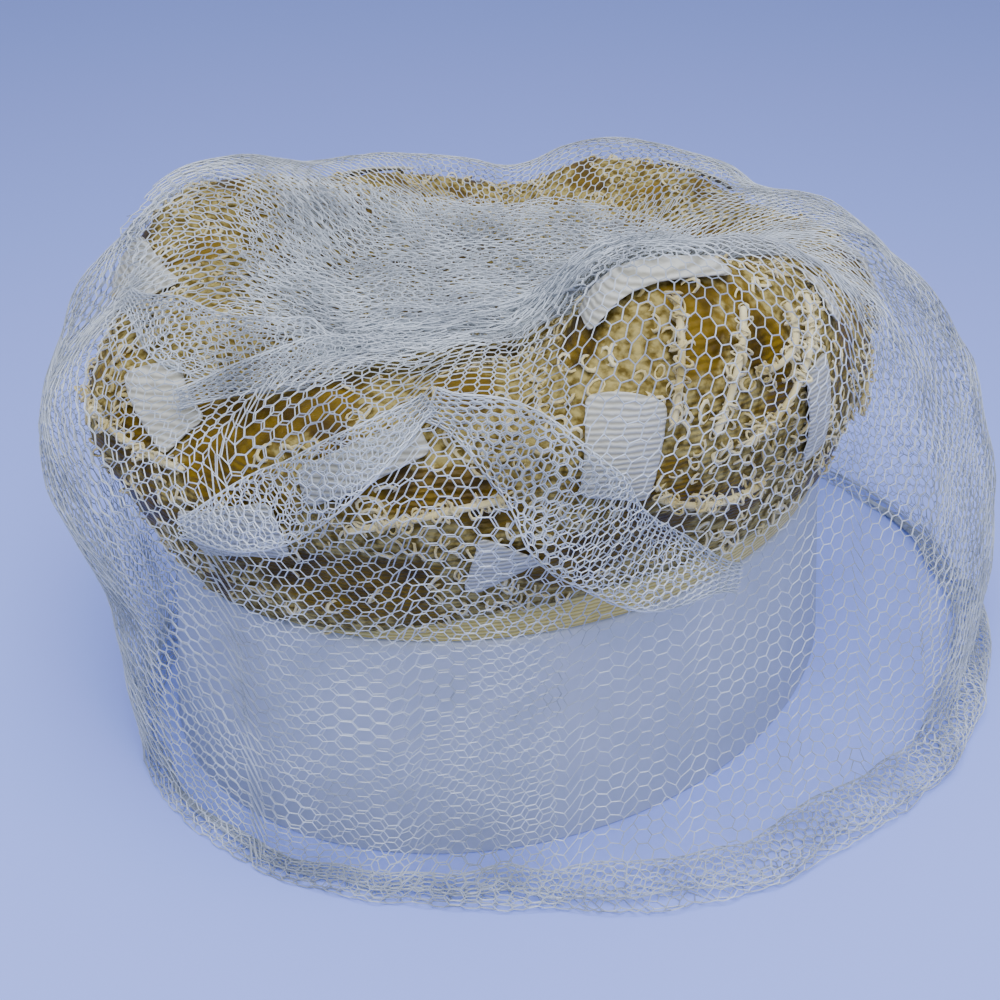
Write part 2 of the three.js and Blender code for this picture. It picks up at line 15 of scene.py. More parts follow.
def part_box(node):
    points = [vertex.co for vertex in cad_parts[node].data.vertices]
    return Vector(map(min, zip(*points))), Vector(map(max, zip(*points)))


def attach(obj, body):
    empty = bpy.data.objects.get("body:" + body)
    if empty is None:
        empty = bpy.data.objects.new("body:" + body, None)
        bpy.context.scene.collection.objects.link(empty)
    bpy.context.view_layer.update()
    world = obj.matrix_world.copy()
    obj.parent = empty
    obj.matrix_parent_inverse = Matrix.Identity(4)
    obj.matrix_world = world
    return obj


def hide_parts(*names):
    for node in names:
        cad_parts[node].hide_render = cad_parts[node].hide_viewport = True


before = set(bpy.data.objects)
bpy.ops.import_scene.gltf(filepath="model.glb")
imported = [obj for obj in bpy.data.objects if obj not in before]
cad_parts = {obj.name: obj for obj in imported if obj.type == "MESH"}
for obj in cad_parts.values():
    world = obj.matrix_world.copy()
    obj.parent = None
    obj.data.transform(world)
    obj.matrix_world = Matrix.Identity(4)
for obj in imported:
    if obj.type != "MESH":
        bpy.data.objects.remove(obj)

log = logging.getLogger("hat")

MM = 0.001
# Points that lie closer than this are the same point
SAME = 0.01 * MM
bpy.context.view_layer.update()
Drawn = bpy.types.Object
Array = np.ndarray


class Slot(Enum):
    """The record's material slots."""

    STAND = "stand"
    BAND = "band"
    STRAW = "straw"
    TAPE = "tape"
    GIMP = "gimp"
    NET = "net"


def linear(code: str) -> tuple[float, float, float, float]:
    """Turn an sRGB hex colour to linear RGBA.

    Args:
        code: the colour as "#rrggbb".

    Returns:
        Its linear red, green, blue and an alpha of 1.
    """
    parts = [int(code[i:i + 2], 16) / 255 for i in (1, 3, 5)]
    red, green, blue = (
        p / 12.92 if p <= 0.04045 else ((p + 0.055) / 1.055) ** 2.4 for p in parts
    )
    return red, green, blue, 1.0


def set_inputs(node: bpy.types.Node, inputs: dict) -> None:
    """Set or link a node's inputs.

    Args:
        node: the node.
        inputs: for each input by name or number a value, or else the output socket to
            link from, or a node whose first output that is.
    """
    for key, value in inputs.items():
        if isinstance(value, bpy.types.Node):
            value = value.outputs[0]
        if isinstance(value, bpy.types.NodeSocket):
            node.id_data.links.new(value, node.inputs[key])
        else:
            node.inputs[key].default_value = value


def add_node(tree: bpy.types.NodeTree, kind: str, inputs: dict, stops: tuple = (),
             **settings) -> bpy.types.Node:
    """Add a node with its settings, socket values and links.

    Args:
        tree: the node tree that gets it.
        kind: the node's type name.
        inputs: what its inputs get.
        stops: a colour ramp's stops, each a place from 0 to 1 and a hex colour.
        settings: the node's own properties.

    Returns:
        The new node.
    """
    node = tree.nodes.new(kind)
    for key, value in settings.items():
        setattr(node, key, value)
    for number, (place, code) in enumerate(stops):
        node.color_ramp.elements[number].position = place
        node.color_ramp.elements[number].color = linear(code)
    set_inputs(node, inputs)
    return node


def new_material(
        name: str) -> tuple[bpy.types.Material, bpy.types.NodeTree, bpy.types.Node]:
    """Start a material.

    Args:
        name: the real material and how it was made.

    Returns:
        The material, its node tree and its shader.
    """
    material = bpy.data.materials.new(name)
    material.use_nodes = True
    return material, material.node_tree, material.node_tree.nodes["Principled BSDF"]


def select_only(*objects: Drawn) -> None:
    """Deselect everything, then select these objects and make the first one active.

    Args:
        objects: what is selected.
    """
    bpy.ops.object.select_all(action="DESELECT")
    for obj in objects:
        obj.select_set(True)
    if objects:
        bpy.context.view_layer.objects.active = objects[0]


def add_object(name: str, data: bpy.types.ID) -> Drawn:
    """Put a new object in the scene.

    Args:
        name: its name.
        data: its mesh, camera or light.

    Returns:
        The object.
    """
    obj = bpy.data.objects.new(name, data)
    bpy.context.scene.collection.objects.link(obj)
    return obj


def oval_cylinder(node: str, name: str, sides: int, ends: str) -> tuple[Drawn, Vector]:
    """Make an upright oval cylinder in a CAD node's box.

    Args:
        node: the CAD node.
        name: the new object's name.
        sides: its number of sides.
        ends: how its ends are filled.

    Returns:
        The cylinder and the box's size.
    """
    low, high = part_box(node)
    size = high - low
    select_only()
    bpy.ops.mesh.primitive_cylinder_add(
        vertices=sides, radius=size.x / 2, depth=size.z, end_fill_type=ends,
        location=(0, 0, (low.z + high.z) / 2))
    obj = bpy.context.object
    obj.name = name
    obj.scale = (1, size.y / size.x, 1)
    bpy.ops.object.transform_apply()
    return obj, size


def modify(obj: Drawn, kind: str, **settings) -> None:
    """Add a modifier to an object and apply it, which leaves the object active.

    Args:
        obj: the object.
        kind: the modifier's type name.
        settings: the modifier's properties.
    """
    select_only(obj)
    bpy.ops.object.modifier_add(type=kind)
    modifier = obj.modifiers[-1]
    for key, value in settings.items():
        setattr(modifier, key, value)
    bpy.ops.object.modifier_apply(modifier=modifier.name)


@contextmanager
def edit_mode(obj: Drawn, action: str = "") -> Iterator[None]:
    """Hold a mesh in edit mode for what follows.

    Args:
        obj: the object.
        action: "SELECT" or "DESELECT" for all of it, or nothing to keep what is selected.
    """
    select_only(obj)
    bpy.ops.object.mode_set(mode="EDIT")
    if action:
        bpy.ops.mesh.select_all(action=action)
    yield
    bpy.ops.object.mode_set(mode="OBJECT")


def merge_points(obj: Drawn, distance: float) -> None:
    """Merge an object's points that lie this close to each other."""
    with edit_mode(obj, "SELECT"):
        bpy.ops.mesh.remove_doubles(threshold=distance)


def mark(obj: Drawn, parts: str, chosen: Array) -> None:
    """Select some faces or edges of a mesh, and nothing else of it.

    Args:
        obj: the object.
        parts: "polygons" or "edges".
        chosen: a truth value for each of them.
    """
    with edit_mode(obj, "DESELECT"):
        bpy.ops.mesh.select_mode(type="FACE" if parts == "polygons" else "EDGE")
    getattr(obj.data, parts).foreach_set("select", chosen)


def smooth_copy(node: str, name: str, levels: int) -> Drawn:
    """Copy a CAD node's mesh, merge its loose triangles and smooth it by subdivision.

    Args:
        node: the CAD node's name.
        name: the new object's name.
        levels: how many times it is subdivided.

    Returns:
        The smoothed copy.
    """
    obj = add_object(name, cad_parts[node].data.copy())
    obj.data.materials.clear()
    merge_points(obj, SAME)
    modify(obj, "SUBSURF", levels=levels, render_levels=levels)
    bpy.ops.object.shade_smooth()
    return obj


def rows_of(obj: Drawn, parts: str = "vertices", value: str = "co",
            width: int = 3) -> Array:
    """Read an object's points, or a value that each part of its mesh has.

    Args:
        obj: the object.
        parts: the mesh's list of parts.
        value: the value's name.
        width: how many numbers it has.

    Returns:
        A row for each part.
    """
    listed = getattr(obj.data, parts)
    flat = np.empty(len(listed) * width)
    listed.foreach_get(value, flat)
    return flat.reshape(-1, width)


def set_points(obj: Drawn, points: Array) -> None:
    """Move an object's points to the rows of an array."""
    obj.data.vertices.foreach_set("co", points.ravel())
    obj.data.update()


def ripples(points: Array, size: float, seed: float) -> Array:
    """Give smooth noise.

    Args:
        points: the places, a row for each.
        size: the noise's wavelength, in metres.
        seed: what tells one noise from another.

    Returns:
        The noise at each place, from -1 to 1.
    """
    # Each seed reads the noise at a place of its own
    shift = Vector((seed * 7.3, seed * 3.1, seed * 5.7))
    return np.array([noise.noise(Vector(p) / size + shift) for p in points])


def way_along(path: Array) -> Array:
    """Measure a path.

    Args:
        path: its points, a row for each.

    Returns:
        How far along it each point lies.
    """
    steps = np.linalg.norm(np.diff(path, axis=0), axis=1)
    return np.concatenate([[0], np.cumsum(steps)])


def read_path(path: Array, way: Array) -> Array:
    """Give places on a path.

    Args:
        path: its points, a row for each.
        way: how far along it the places lie.

    Returns:
        A row for each place.
    """
    return np.stack([np.interp(way, way_along(path), axis) for axis in path.T], axis=1)


@dataclass(frozen=True)
class View:
    """The photograph's viewpoint, and the places that its pixels look at."""

    place: tuple[float, float, float] = (199.6 * MM, -204.2 * MM, 209.3 * MM)
    back: tuple[float, float, float] = (0.6085, -0.6085, 0.5094)
    lens: float = 43.2
    sensor: float = 36.0
    pixels: int = 1000

    def turn(self) -> Quaternion:
        """Give the camera's turn: its X goes right, its Y up and its Z back."""
        return Vector(self.back).to_track_quat("Z", "Y")

    def touch(self, tree: BVHTree, x: float, y: float) -> Array:
        """Find what a pixel of the photograph looks at.

        Args:
            tree: the surface.
            x: the pixel's place from the left.
            y: the pixel's place from the top.

        Returns:
            The place on the surface.
        """
        reach = self.lens / self.sensor * self.pixels
        way = Vector((x - self.pixels / 2, self.pixels / 2 - y, -reach)).normalized()
        return np.array(tree.ray_cast(Vector(self.place), self.turn() @ way)[0])

    def seen(self, points: Array) -> Array:
        """Give how far right, up and towards the camera each point lies."""
        return points @ np.array(self.turn().to_matrix())


VIEW = View()


def tree_of(nodes: list[str]) -> BVHTree:
    """Join CAD nodes' faces for finding what a ray meets.

    Args:
        nodes: the nodes' names.

    Returns:
        The search tree.
    """
    corners, faces = [], []
    for node in nodes:
        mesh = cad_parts[node].data
        first = len(corners)
        corners += [v.co.copy() for v in mesh.vertices]
        faces += [[first + i for i in face.vertices] for face in mesh.polygons]
    return BVHTree.FromPolygons(corners, faces)


def finish_piece(obj: Drawn, material: bpy.types.Material, nodes: list[str]) -> None:
    """Dress a finished piece and tie it to the frame.

    Args:
        obj: the piece.
        material: its material.
        nodes: the CAD nodes that it stands for.
    """
    obj.data.materials.clear()
    obj.data.materials.append(material)
    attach(obj, "root")
    if nodes:
        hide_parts(*nodes)
    log.info("%s: %d faces", obj.name, len(obj.data.polygons))


def side_area(obj: Drawn) -> float:
    """Give half of a thin closed piece's surface, which is the area of a side."""
    return float(rows_of(obj, "polygons", "area", 1).sum()) / 2


def declare_ribbon(obj: Drawn, width: float) -> None:
    """Measure a piece's side and its width as a ribbon, or as a small square if it is a scrap;
    the result is not used.

    Args:
        obj: the piece.
        width: the ribbon's width.
    """
    area = side_area(obj)
    width = min(width, math.sqrt(area))


@dataclass(frozen=True)
class MouldedPlastic:
    """White moulded polystyrene: smooth, with the soft unevenness of a cheap mould."""

    name: str = "moulded white polystyrene"
    colour: str = "#b3b9c4"
    shade: str = "#a3abb8"
    roughness: float = 0.42
    dimple: float = 9 * MM

    def build(self) -> bpy.types.Material:
        """Make the material.

        Returns:
            The material.
        """
        material, tree, shader = new_material(self.name)
        place = add_node(tree, "ShaderNodeTexCoord", {}).outputs["Object"]
        # Uneven wall thickness shows as faint cloudy patches in the white
        clouds = add_node(tree, "ShaderNodeTexNoise", {
            "Vector": place, "Scale": 1 / self.dimple, "Detail": 3.0})
        tint = add_node(tree, "ShaderNodeValToRGB", {"Fac": clouds},
                        ((0, self.shade), (1, self.colour)))
        bump = add_node(tree, "ShaderNodeBump", {
            "Height": clouds, "Strength": 0.12, "Distance": 0.4 * MM})
        set_inputs(shader, {
            "Base Color": tint, "Normal": bump,
            "Roughness": self.roughness, "IOR": 1.59})
        return material


@dataclass(frozen=True)
class Cloth:
    """Woven or ribbed trim: a ribbed surface with a soft sheen and uneven dye, with a painted
    highlight on each rib and painted shade between the ribs.
    """

    name: str
    colour: str
    # The dark end of the uneven dye and of the painted shade between the ribs
    shade: str
    rib: float
    roughness: float = 0.7
    sheen: float = 0.3
    sheen_roughness: float = 0.4
    patch: float = 6 * MM

    def build(self) -> bpy.types.Material:
        """Make the material.

        Returns:
            The material.
        """
        material, tree, shader = new_material(self.name)
        place = add_node(tree, "ShaderNodeTexCoord", {}).outputs["Object"]
        # Ribs: one bright and one dark band for each weft thread; they raise the bump, and in
        # the colour they are a painted highlight on each rib and painted shade beside it
        ribs = add_node(tree, "ShaderNodeTexWave", {
            "Vector": place, "Scale": math.pi / (10 * self.rib),
            "Distortion": 2.5, "Detail": 2.0}, bands_direction="Z")
        patches = add_node(tree, "ShaderNodeTexNoise", {
            "Vector": place, "Scale": 1 / self.patch, "Detail": 4.0})
        # The colour is the dye's random patches times the ribs' painted highlight and painted
        # shade
        dye_and_rib_shade = add_node(tree, "ShaderNodeMath", {
            0: ribs.outputs["Fac"], 1: patches}, operation="MULTIPLY")
        tint = add_node(tree, "ShaderNodeValToRGB", {"Fac": dye_and_rib_shade},
                        ((0, self.shade), (0.45, self.colour)))
        bump = add_node(tree, "ShaderNodeBump", {
            "Height": ribs.outputs["Fac"], "Strength": 0.5, "Distance": 0.3 * MM})
        set_inputs(shader, {
            "Base Color": tint, "Normal": bump,
            "Roughness": self.roughness, "Sheen Weight": self.sheen,
            "Sheen Roughness": self.sheen_roughness})
        return material


@dataclass(frozen=True)
class StrawCloth:
    """Synthetic straw cloth: glassy ochre strips that show between matted cream thread."""

    name: str = "woven synthetic straw with cream thread"
    straw_light: str = "#735b0a"
    straw_dark: str = "#413001"
    thread: str = "#9f8f52"
    # The painted shade in the pits between the thread's curls
    thread_shade: str = "#5c4c1a"
    strip: float = 1.3 * MM
    depth_patch: float = 7 * MM
    curl: float = 2 * MM
    gloss: float = 0.15
    straw_roughness: float = 0.42
    thread_roughness: float = 0.85

    def build(self) -> bpy.types.Material:
        """Make the material.

        Returns:
            The material.
        """
        material, tree, shader = new_material(self.name)
        place = add_node(tree, "ShaderNodeTexCoord", {}).outputs["Object"]
        # Glassy strips of straw differ in depth of colour
        depth = add_node(tree, "ShaderNodeTexNoise", {
            "Vector": place, "Scale": 1 / self.depth_patch, "Detail": 3.0})
        straw = add_node(tree, "ShaderNodeValToRGB", {"Fac": depth},
                         ((0.35, self.straw_dark), (0.65, self.straw_light)))
        strips = add_node(tree, "ShaderNodeTexWave", {
            "Vector": place, "Scale": math.pi / (10 * self.strip),
            "Distortion": 3.0, "Detail": 2.0, "Detail Scale": 2.0},
            bands_direction="Z")
        # Thread is matted: pale where it lies thick, with painted shade in the pits between
        # its curls
        curls = add_node(tree, "ShaderNodeTexNoise", {
            "Vector": place, "Scale": 1 / self.curl, "Detail": 3.0})
        thread = add_node(tree, "ShaderNodeValToRGB", {"Fac": curls},
                          ((0.38, self.thread_shade), (0.6, self.thread)))
        lace = add_node(tree, "ShaderNodeAttribute", {}, attribute_name="lace")
        frayed = add_node(tree, "ShaderNodeMath", {
            0: curls, 1: 0.5, 2: lace.outputs["Fac"]}, operation="MULTIPLY_ADD")
        cover = add_node(tree, "ShaderNodeMapRange", {
            "Value": frayed, "From Min": 0.55, "From Max": 0.85})
        # A mix node's sockets share names: its colours are inputs 6 and 7 and output 2
        mix = add_node(tree, "ShaderNodeMix", {
            0: cover, 6: straw,
            7: thread}, data_type="RGBA")
        rough = add_node(tree, "ShaderNodeMapRange", {
            "Value": cover, "To Min": self.straw_roughness,
            "To Max": self.thread_roughness})
        ridges = add_node(tree, "ShaderNodeMath", {
            0: strips.outputs["Fac"], 1: frayed}, operation="ADD")
        bump = add_node(tree, "ShaderNodeBump", {
            "Height": ridges, "Strength": 0.5, "Distance": 0.5 * MM})
        set_inputs(shader, {
            "Base Color": mix.outputs[2], "Normal": bump,
            "Roughness": rough, "Specular IOR Level": self.gloss})
        return material


@dataclass(frozen=True)
class Yarn:
    """Plain thread: one spun or drawn yarn, lit as a soft fibre."""

    name: str
    colour: str
    shade: str
    roughness: float = 0.5
    sheen: float = 0.4
    patch: float = 14 * MM

    def build(self) -> bpy.types.Material:
        """Make the material.

        Returns:
            The material.
        """
        material, tree, shader = new_material(self.name)
        place = add_node(tree, "ShaderNodeTexCoord", {}).outputs["Object"]
        # Dye and light wear change from place to place
        patches = add_node(tree, "ShaderNodeTexNoise", {
            "Vector": place, "Scale": 1 / self.patch, "Detail": 4.0})
        tint = add_node(tree, "ShaderNodeValToRGB", {"Fac": patches},
                        ((0.35, self.shade), (0.6, self.colour)))
        set_inputs(shader, {
            "Base Color": tint, "Roughness": self.roughness,
            "Sheen Weight": self.sheen})
        return material


@dataclass
class Skin:
    """The outer face of some CAD nodes, as smooth places round a focus inside them."""

    prefix: str
    focus_height: float
    lowest: float
    directions: int = 180
    samples: int = 260
    knots: int = 200
    far: float = 0.5
    seam_jump: float = 1.5 * MM
    smoothings_round: int = 2
    smoothings_down: int = 3
    radius: Array | None = None
    height: Array | None = None
    length: Array | None = None
    crest: Array | None = None
    tree: BVHTree | None = None

    def nodes(self) -> list[str]:
        """Name the CAD nodes whose face this is."""
        return sorted(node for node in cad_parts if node.startswith(self.prefix))

    def measure(self) -> None:
        """Sample the nodes' outer face with rays towards the focus, and smooth it."""
        self.tree = tree_of(self.nodes())
        focus = Vector((0, 0, self.focus_height))
        share = np.linspace(0, 1, self.knots)
        profiles = []
        lengths = []
        for step in range(self.directions):
            turn = math.tau * step / self.directions
            found = []
            for lean in np.linspace(0, self.lowest, self.samples):
                way = Vector((
                    math.sin(lean) * math.cos(turn), math.sin(lean) * math.sin(turn),
                    math.cos(lean)))
                hit = self.tree.ray_cast(focus + way * self.far, -way, self.far)[0]
                if hit is not None:
                    found.append((lean, (hit - focus).length))
            leans, reach = np.array(found).T
            # A ray slips through the seams between nodes here and there, and jumps
            near = np.stack([np.roll(reach, k) for k in range(-3, 4)])
            middle = np.median(near, axis=0)
            middle[:3], middle[-3:] = reach[:3], reach[-3:]
            reach = np.where(abs(reach - middle) > self.seam_jump, middle, reach)
            profile = np.stack([
                reach * np.sin(leans), self.focus_height + reach * np.cos(leans)], axis=1)
            lengths.append(way_along(profile)[-1])
            profiles.append(read_path(profile, share * lengths[-1]).T)
        grid = np.array(profiles)
        for _ in range(self.smoothings_round):
            grid = (np.roll(grid, 1, axis=0) + 2 * grid + np.roll(grid, -1, axis=0)) / 4
        for _ in range(self.smoothings_down):
            grid[:, :, 1:-1] = (grid[:, :, :-2] + 2 * grid[:, :, 1:-1] + grid[:, :, 2:]) / 4
        self.radius, self.height = grid[:, 0], grid[:, 1]
        self.length = np.array(lengths)
        self.crest = self.length * np.argmax(self.height, axis=1) / (self.knots - 1)

    def around(self, values: Array, turn: Array) -> Array:
        """Read a value that each direction has at any angle, in radians."""
        where = np.arange(self.directions + 1) * math.tau / self.directions
        return np.interp(turn % math.tau, where, np.append(values, values[0]))

    def place(self, turn: Array, share: Array) -> Array:
        """Give places on the face.

        Args:
            turn: the angles round the hat, in radians.
            share: the shares of the way from the middle of the top to the hem.

        Returns:
            A row for each place.
        """
        column = (turn % math.tau) / math.tau * self.directions
        row = np.clip(share, 0, 1) * (self.knots - 1)
        left = np.floor(column).astype(int) % self.directions
        upper = np.minimum(np.floor(row).astype(int), self.knots - 2)
        across = column - np.floor(column)
        beyond = row - upper
        radius = height = 0
        for side, part in ((left, 1 - across), ((left + 1) % self.directions, across)):
            for step, weight in ((upper, part * (1 - beyond)), (upper + 1, part * beyond)):
                radius = radius + self.radius[side, step] * weight
                height = height + self.height[side, step] * weight
        return np.stack([radius * np.cos(turn), radius * np.sin(turn), height], axis=1)

    def below_crest(self, turn: Array, down: Array) -> Array:
        """Give places by the distance down from the crest, inwards where it is negative."""
        share = (down + self.around(self.crest, turn)) / self.around(self.length, turn)
        return self.place(turn, share)

    def crest_radius(self) -> Array:
        """Give how far out the crest lies in each direction."""
        return self.radius[np.arange(self.directions), np.argmax(self.height, axis=1)]

    def on_top(self, flat: Array) -> Array:
        """Give the height of the face inside the crest.

        Args:
            flat: rows of X and Y.

        Returns:
            The height at each row.
        """
        turn = np.arctan2(flat[:, 1], flat[:, 0])
        column = (turn % math.tau) / math.tau * self.directions
        direction = np.round(column).astype(int) % self.directions
        out = np.hypot(flat[:, 0], flat[:, 1])
        heights = np.empty(len(flat))
        for here in np.unique(direction):
            mine = direction == here
            top = int(np.argmax(self.height[here])) + 1
            radius = np.maximum.accumulate(self.radius[here, :top])
            heights[mine] = np.interp(out[mine], radius, self.height[here, :top])
        return heights

    def outwards(self, points: Array) -> Array:
        """Give the direction away from the focus at each point."""
        away = points - (0, 0, self.focus_height)
        return away / np.linalg.norm(away, axis=1)[:, None]


@dataclass
class Stand:
    """The oval block that the hat sits on."""

    sides: int = 160
    top_share: float = 0.925
    top_round: float = 3 * MM
    foot_round: float = 0.8 * MM
    finish: MouldedPlastic = MouldedPlastic()

    def build(self) -> None:
        """Model the stand and dress it."""
        obj, size = oval_cylinder("stand", "stand_block", self.sides, "NGON")
        points = rows_of(obj)
        top = points[:, 2] > size.z / 2
        points[top, :2] *= self.top_share
        set_points(obj, points)
        for level, width in ((size.z, self.top_round), (0, self.foot_round)):
            on_rim = abs(rows_of(obj)[:, 2] - level) < SAME
            rim = np.array([on_rim[list(edge.vertices)].all() for edge in obj.data.edges])
            mark(obj, "edges", rim)
            with edit_mode(obj):
                bpy.ops.mesh.bevel(offset=width, segments=4)
        modify(obj, "WEIGHTED_NORMAL")
        bpy.ops.object.shade_smooth_by_angle(angle=math.radians(35))
        finish_piece(obj, self.finish.build(), ["stand"])


@dataclass
class Headband:
    """The ribbon band inside the crown's hem."""

    sides: int = 128
    rows: int = 2
    wall: float = 1.5 * MM
    edge_round: float = 0.4 * MM
    # Its second colour is the dark end of the dye and of the painted shade between the ribs
    finish: Cloth = Cloth("ribbed rayon ribbon", "#d3c26c", "#ab9743", 0.9 * MM)

    def build(self) -> None:
        """Model the band and dress it."""
        obj, size = oval_cylinder("headband", "headband_ribbon", self.sides, "NOTHING")
        with edit_mode(obj, "SELECT"):
            bpy.ops.mesh.subdivide(number_cuts=self.rows)
            bpy.ops.mesh.normals_make_consistent(inside=False)
        modify(obj, "SOLIDIFY", thickness=self.wall, offset=-1)
        modify(obj, "BEVEL", width=self.edge_round, segments=2, limit_method="ANGLE")
        bpy.ops.object.shade_smooth_by_angle(angle=math.radians(40))
        finish_piece(obj, self.finish.build(), ["headband"])
        declare_ribbon(obj, size.z)


@dataclass(frozen=True)
class Patch:
    """A place on the crown where straw shows bare, or where thread lies thick.

    It is given by the pixel that looks at its middle, its width and height in
    millimetres, and the thread's share of it.
    """

    x: float
    y: float
    wide: float
    tall: float
    thread: float


# Bare straw as the photograph shows it at the front of the crown
STRAW_PATCHES = tuple(Patch(*row) for row in (
    (595, 328, 14, 13, 0), (690, 335, 17, 19, 0.1), (765, 345, 13, 13, 0.1),
    (782, 398, 8, 10, 0), (320, 405, 18, 13, 0), (225, 440, 24, 32, 0.05),
    (465, 385, 14, 9, 0), (480, 478, 44, 20, 0), (335, 572, 46, 17, 0.05),
    (562, 560, 22, 16, 0), (690, 492, 9, 7, 0), (650, 530, 26, 9, 0.15),
    (590, 430, 7, 12, 0), (130, 430, 14, 22, 0.25), (400, 600, 40, 8, 0.1),
))
# Places there where the cream thread lies thick
THREAD_PATCHES = tuple(Patch(*row) for row in (
    (640, 345, 15, 24, 1), (535, 440, 22, 24, 0.8), (430, 440, 26, 11, 0.9),
    (200, 345, 24, 20, 0.8), (760, 450, 24, 12, 0.85), (705, 435, 28, 9, 0.9),
    (385, 540, 50, 8, 0.8), (500, 600, 30, 9, 0.8), (820, 330, 14, 26, 0.8),
))


@dataclass
class Loops:
    """Small loops of thread, strewn over a surface by Geometry Nodes and realized."""

    radius: float
    thread: float
    density: float
    seed: int
    stands: float = 0.25
    segments: int = 9

    def strew(self, host: Drawn, name: str, attribute: str) -> Drawn:
        """Strew loops over a surface.

        Args:
            host: the object whose faces carry them.
            name: the new object's name.
            attribute: the host's attribute that says how thickly they lie, or nothing.

        Returns:
            The loops, as one mesh.
        """
        select_only()
        bpy.ops.mesh.primitive_torus_add(
            major_radius=self.radius, minor_radius=self.thread / 2,
            major_segments=self.segments, minor_segments=3)
        loop = bpy.context.object
        loop.scale = (1.25, 0.8, 1)
        bpy.ops.object.transform_apply()
        obj = add_object(name, host.data.copy())
        tree = bpy.data.node_groups.new(name, "GeometryNodeTree")
        for way in ("INPUT", "OUTPUT"):
            tree.interface.new_socket("Geometry", in_out=way, socket_type="NodeSocketGeometry")
        start = add_node(tree, "NodeGroupInput", {})
        inputs = {"Mesh": start, "Density": self.density, "Seed": self.seed}
        if attribute:
            named = add_node(tree, "GeometryNodeInputNamedAttribute", {"Name": attribute},
                             data_type="FLOAT")
            thick = add_node(tree, "ShaderNodeMath", {
                0: named, 1: self.density}, operation="MULTIPLY")
            inputs["Density"] = thick
        dots = add_node(tree, "GeometryNodeDistributePointsOnFaces", inputs)
        tumble = add_node(tree, "FunctionNodeRandomValue", {
            "Min": (-self.stands * math.pi, -self.stands * math.pi, 0.0),
            "Max": (self.stands * math.pi, self.stands * math.pi, math.tau),
            "Seed": self.seed + 1}, data_type="FLOAT_VECTOR")
        turned = add_node(tree, "FunctionNodeEulerToRotation", {
            "Euler": tumble})
        turn = add_node(tree, "FunctionNodeRotateRotation", {
            "Rotation": dots.outputs["Rotation"], "Rotate By": turned},
            rotation_space="LOCAL")
        size = add_node(tree, "FunctionNodeRandomValue", {
            2: 0.7, 3: 1.25, "Seed": self.seed + 2}, data_type="FLOAT")
        model = add_node(tree, "GeometryNodeObjectInfo", {"Object": loop})
        placed = add_node(tree, "GeometryNodeInstanceOnPoints", {
            "Points": dots, "Instance": model.outputs["Geometry"],
            "Rotation": turn, "Scale": size.outputs[1]})
        real = add_node(tree, "GeometryNodeRealizeInstances", {
            "Geometry": placed})
        add_node(tree, "NodeGroupOutput", {"Geometry": real})
        modify(obj, "NODES", node_group=tree)
        bpy.data.objects.remove(loop)
        bpy.ops.object.shade_smooth()
        return obj


